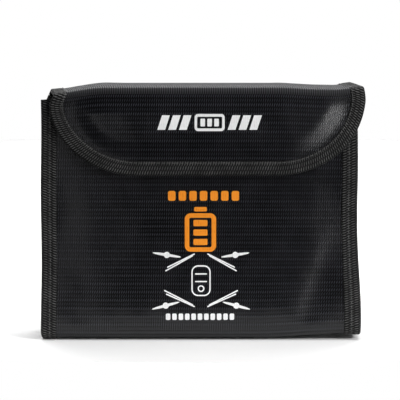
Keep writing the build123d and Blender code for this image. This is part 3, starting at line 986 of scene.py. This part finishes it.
def make_stitches():
    """The rows that hold every binding."""
    for name, side in SIDES:
        run = spaced(along_front(SEAM_TOP - ROW_STOP), along_back(SEAM_TOP - ROW_STOP), 2 * MM)
        rows = both_faces(flat_points(side * (HALF - SEAM_ROW), run), strip_beyond, SEAM_DEPTH)
        on_bag(stitches(f"{name}_seam_stitches", rows), "thread", f"{name}_seam_thread")
    run = spaced(-(HALF - SEAM_TAPE - ROW_STOP), HALF - SEAM_TAPE - ROW_STOP, 2 * MM)
    rows = both_faces(flat_points(run, MOUTH_ROW - TAPE), strip_beyond, EDGE_DEPTH)
    on_bag(stitches("mouth_stitches", rows), "thread", "mouth_thread")
    outline, inward, left_lid, right_lid, flap_part = split_outline()
    row = outline + inward * EDGE_ROW
    lid_rows = both_faces(row[left_lid], strip_at, EDGE_DEPTH)
    lid_rows += both_faces(row[right_lid], strip_at, EDGE_DEPTH)
    over_back_fold(stitches("lid_stitches", lid_rows), "thread", "lid_thread")
    flap_rows = both_faces(row[flap_part], strip_at, EDGE_DEPTH)
    over_front_fold(stitches("flap_stitches", flap_rows), "thread", "flap_thread")


# --- Hook and loop fastener ---

LOOP_STEP = 1.5 * MM
LOOP_SIZE = 0.55 * MM
HOOK_STEP = 1.7 * MM


def fastener_base(name, place, direction, look, thickness):
    """A rounded-edge strip of fastener tape that follows the cloth behind it."""
    low, high = strip_box
    across = spaced(low[0], high[0], 1.6 * MM)
    up = spaced(low[2], high[2], 1.0 * MM)
    grid_x, grid_z = np.meshgrid(across, up)
    from_side = np.minimum(grid_x - low[0], high[0] - grid_x)
    edge = np.minimum(from_side, np.minimum(grid_z - low[2], high[2] - grid_z))
    lumps = 0.08 * MM * ripple(grid_x, grid_z, 31, 3.5 * MM)
    top = direction * thickness * (0.45 + 0.55 * smooth(edge, 0, 1.2 * MM)) + lumps
    rows, columns = grid_x.shape
    front = place(grid_x, grid_z, top)
    back = place(grid_x, grid_z, np.zeros_like(top))
    faces = grid_faces(rows, columns, flip=direction < 0)
    offset = rows * columns
    faces += [tuple(v + offset for v in face)[::-1] for face in faces]
    rim = list(range(columns))
    rim += [row * columns + columns - 1 for row in range(1, rows)]
    rim += [(rows - 1) * columns + column for column in range(columns - 2, -1, -1)]
    rim += [row * columns for row in range(rows - 2, 0, -1)]
    for a, b in zip(rim, rim[1:] + rim[:1]):
        face = (a, a + offset, b + offset, b)
        faces.append(face if direction > 0 else face[::-1])
    points = np.concatenate((front.reshape(-1, 3), back.reshape(-1, 3)))
    return make_piece(name, points, faces, look)


def scattered(low, high, step, jitter):
    """Points in rows over a rectangle, each a little off its place."""
    points = []
    across, up = spaced(low[0], high[0], step), spaced(low[2], high[2], step)
    for row, z in enumerate(up):
        for x in across[row % 2 :]:
            off_x = random.uniform(-jitter, jitter)
            off_z = random.uniform(-jitter, jitter)
            points.append((x + off_x, z + off_z))
    return np.array(points)


def on_front(x, z, out):
    """A place on the front panel."""
    return strip_at(x - BODY_SHIFT, along_front(z), out)


def under_flap(x, z, out):
    """A place on the flap's lining."""
    return strip_at(x - FLAP_SHIFT, along_flap(z), out - CLOTH - LINER)


def loop_pile():
    """Small standing loops."""
    spots = scattered(strip_box[0] + 1 * MM, strip_box[1] - 1 * MM, LOOP_STEP, 0.5 * MM)
    turn = np.linspace(0, math.pi, 6)
    lean = np.array([random.uniform(-1, 1) for _ in spots])[:, None] * math.pi
    reach = LOOP_SIZE * np.cos(turn)[None, :]
    x = spots[:, :1] + reach * np.cos(lean)
    z = spots[:, 1:] + reach * np.sin(lean)
    lines = on_front(x, z, 0.75 * MM + LOOP_SIZE * np.sin(turn)[None, :])
    return thread_tubes("loop_pile", lines, [0.09 * MM] * 6, 4, LOOP_LOOK)


def hook_field():
    """Rows of small hooks that bend over at their tips."""
    spots = scattered(strip_box[0] + 1.4 * MM, strip_box[1] - 1.4 * MM, HOOK_STEP, 0.05 * MM)
    x_shape = np.array((0.0, 0.0, 0.05, 0.30, 0.55, 0.62)) * MM
    height = np.array((0.0, 0.35, 0.65, 0.85, 0.72, 0.45)) * MM
    facing = np.where(np.arange(len(spots)) % 2, 1.0, -1.0)[:, None]
    x = spots[:, :1] + facing * x_shape[None, :]
    z = np.broadcast_to(spots[:, 1:], x.shape)
    lines = under_flap(x, z, -0.5 * MM - height[None, :])
    return thread_tubes("hook_field", lines, [0.11 * MM] * 6, 4, HOOK_LOOK)


def strip_stitches(name, place, out):
    """A stitched rectangle just inside a fastener strip's edge."""
    low, high = strip_box[0] + 1.6 * MM, strip_box[1] - 1.6 * MM
    turns = np.array(((0, 0), (1, 0), (1, 1), (0, 1), (0, 0)))
    corners = np.where(turns, high[[0, 2]], low[[0, 2]])
    return stitches(name, [(corners[i : i + 2], place, out) for i in range(4)])


def make_fastener():
    """Loops on the front panel, hooks behind the flap."""
    loop_base = fastener_base("loop_strip_base", on_front, 1, LOOP_LOOK, 0.8 * MM)
    on_bag(loop_base, "fastener_loops", "loop_strip")
    on_bag(loop_pile(), "fastener_loops")
    on_bag(strip_stitches("loop_strip_stitches", on_front, 0.75 * MM), "thread")
    hook_base = fastener_base("hook_strip_base", under_flap, -1, HOOK_LOOK, 0.5 * MM)
    on_flap(hook_base, "fastener_hooks", "hook_strip")
    on_flap(hook_field(), "fastener_hooks")
    on_flap(strip_stitches("hook_strip_stitches", under_flap, -0.45 * MM), "thread")


# --- Printed film ---


def cut_every(mesh, axis, cuts):
    """Cut a mesh along planes square to an axis, so that it can follow the cloth."""
    normal = Vector((axis == 0, axis == 1, axis == 2))
    for cut in cuts:
        geometry = mesh.verts[:] + mesh.edges[:] + mesh.faces[:]
        bmesh.ops.bisect_plane(mesh, geom=geometry, plane_co=normal * cut, plane_no=normal)


def print_film(node, look, slot, join, shift, face_y, to_along):
    """A printed mark: the frame's flat outline, cut fine and laid on the ribs of the cloth."""
    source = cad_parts[node]
    mesh = bmesh.new()
    mesh.from_mesh(source.data)
    bmesh.ops.remove_doubles(mesh, verts=mesh.verts[:], dist=0.001 * MM)
    low, high = limits(node)
    columns = int(round(2 * (HALF - EDGE_INSET) / COLUMN))
    width = 2 * (HALF - EDGE_INSET) / columns
    x_cuts = shift - HALF + EDGE_INSET + width * np.arange(columns + 1)
    cut_every(mesh, 0, x_cuts[(x_cuts > low[0]) & (x_cuts < high[0])])
    first, last = sorted((to_along(low[2]), to_along(high[2])))
    row_marks = np.arange(math.ceil(first / ROW), math.floor(last / ROW) + 1) * ROW
    cut_every(mesh, 2, low[2] + abs(to_along(low[2]) - row_marks))
    flat = np.array([vertex.co for vertex in mesh.verts])
    across, along = flat[:, 0] - shift, to_along(flat[:, 2])
    out = np.where(face_y - flat[:, 1] > 0.05 * MM, FILM_OUT, FILM_IN)
    for vertex, place in zip(mesh.verts, strip_at(across, along, out + rib_height(along))):
        vertex.co = place
    mesh.verts.ensure_lookup_table()
    faces = [tuple(vertex.index for vertex in face.verts) for face in mesh.faces]
    points = np.array([vertex.co for vertex in mesh.verts])
    mesh.free()
    piece = make_piece(f"{node}_film", points, faces, look, flat_points(across, along))
    piece.data.set_sharp_from_angle(angle=math.radians(50))
    join(piece, slot, node)


def make_prints():
    """The marks on the front panel and the one on the flap."""
    for node, look, slot in (
        ("header_print", ORANGE_LOOK, "orange_film"),
        ("symbol_print", ORANGE_LOOK, "orange_film"),
        ("drone_print", WHITE_LOOK, "white_film"),
        ("caption_print", WHITE_LOOK, "white_film"),
    ):
        print_film(node, look, slot, on_bag, BODY_SHIFT, FRONT, along_front)
    print_film("flap_print", WHITE_LOOK, "white_film", on_flap, FLAP_SHIFT, FLAP, along_flap)


slack_grid = simulate_slack()
make_strip()
make_linings()
make_bindings()
make_gussets()
make_stitches()
make_fastener()
make_prints()


# --- Camera, light and floor ---


def make_camera():
    """A long lens a little above the front, framed on the whole pouch."""
    aim = Vector((-2.2 * MM, FRONT, 95.5 * MM))
    distance = 1.49
    elevation = math.radians(6.8)
    offset = Vector((0.0, -math.cos(elevation), math.sin(elevation))) * distance
    data = bpy.data.cameras.new("camera")
    data.lens = 200.0
    data.sensor_width = 36.0
    camera = add_object("camera", data)
    camera.location = aim + offset
    camera.rotation_euler = (-offset).to_track_quat("-Z", "Y").to_euler()
    bpy.context.scene.camera = camera


def area_light(name, place, target, size, power):
    """A rectangular soft box that faces a point."""
    data = bpy.data.lights.new(name, "AREA")
    data.shape = "RECTANGLE"
    data.size, data.size_y = size
    data.energy = power
    light = add_object(name, data)
    light.location = place
    light.rotation_euler = (Vector(target) - Vector(place)).to_track_quat("-Z", "Y").to_euler()


def make_studio():
    """A pale floor, white surroundings and soft boxes."""
    floor_mesh = bpy.data.meshes.new("floor")
    radius, centre_y = 0.8, 0.70
    turns = np.linspace(0, 2 * math.pi, 97)[:-1]
    rim = [(radius * math.cos(turn), centre_y + radius * math.sin(turn), 0.0) for turn in turns]
    floor_mesh.from_pydata(rim, [], [tuple(range(len(rim)))])
    floor = add_object("floor", floor_mesh)
    pale = Nodes("floor")
    tone = pale.ramp(pale.noise(3.0), ((0.0, (0.88, 0.88, 0.88)), (1.0, (0.92, 0.92, 0.92))))
    floor_mesh.materials.append(pale.finish(tone, 0.8, pale.noise(200.0), 0.01 * MM))
    make_world()
    centre = (0.0, 0.0, 0.08)
    area_light("key", (0.95, -0.75, 0.80), centre, (0.4, 0.4), 15.0)
    area_light("right_strip", (0.54, -1.0, 0.05), (0.05, 0.0, 0.14), (0.08, 0.9), 3.3)
    area_light("left_card", (-0.30, -1.10, 0.0), centre, (0.10, 0.4), 0.22)
    area_light("top", (0.0, -0.1, 1.3), centre, (1.4, 1.0), 4.0)
    area_light("rail", (0.0, -0.12, 1.2), centre, (1.3, 0.06), 6.0)
    area_light("sweep", (0.0, 0.9, 1.2), (0.0, 0.7, 0.0), (1.5, 0.8), 18.0)
    bpy.context.scene.view_settings.view_transform = "Standard"


def make_world():
    """White to the camera. As light, it is a white backdrop behind and a dark room in front."""
    world = bpy.data.worlds.new("studio")
    world.use_nodes = True
    tree = world.node_tree
    add, link = tree.nodes.new, tree.links.new
    surround, backdrop = tree.nodes["Background"], add("ShaderNodeBackground")
    for background in (surround, backdrop):
        background.inputs[0].default_value = (1.0, 1.0, 1.0, 1.0)
    parts, fade = add("ShaderNodeSeparateXYZ"), add("ShaderNodeMapRange")
    link(add("ShaderNodeTexCoord").outputs["Generated"], parts.inputs[0])
    link(parts.outputs[1], fade.inputs["Value"])
    for key, value in (("From Min", 0.0), ("From Max", 0.6), ("To Min", 0.02), ("To Max", 0.9)):
        fade.inputs[key].default_value = value
    link(fade.outputs[0], surround.inputs[1])
    choice = add("ShaderNodeMixShader")
    link(add("ShaderNodeLightPath").outputs["Is Camera Ray"], choice.inputs[0])
    link(surround.outputs[0], choice.inputs[1])
    link(backdrop.outputs[0], choice.inputs[2])
    link(choice.outputs[0], tree.nodes["World Output"].inputs[0])
    bpy.context.scene.world = world


make_camera()
make_studio()
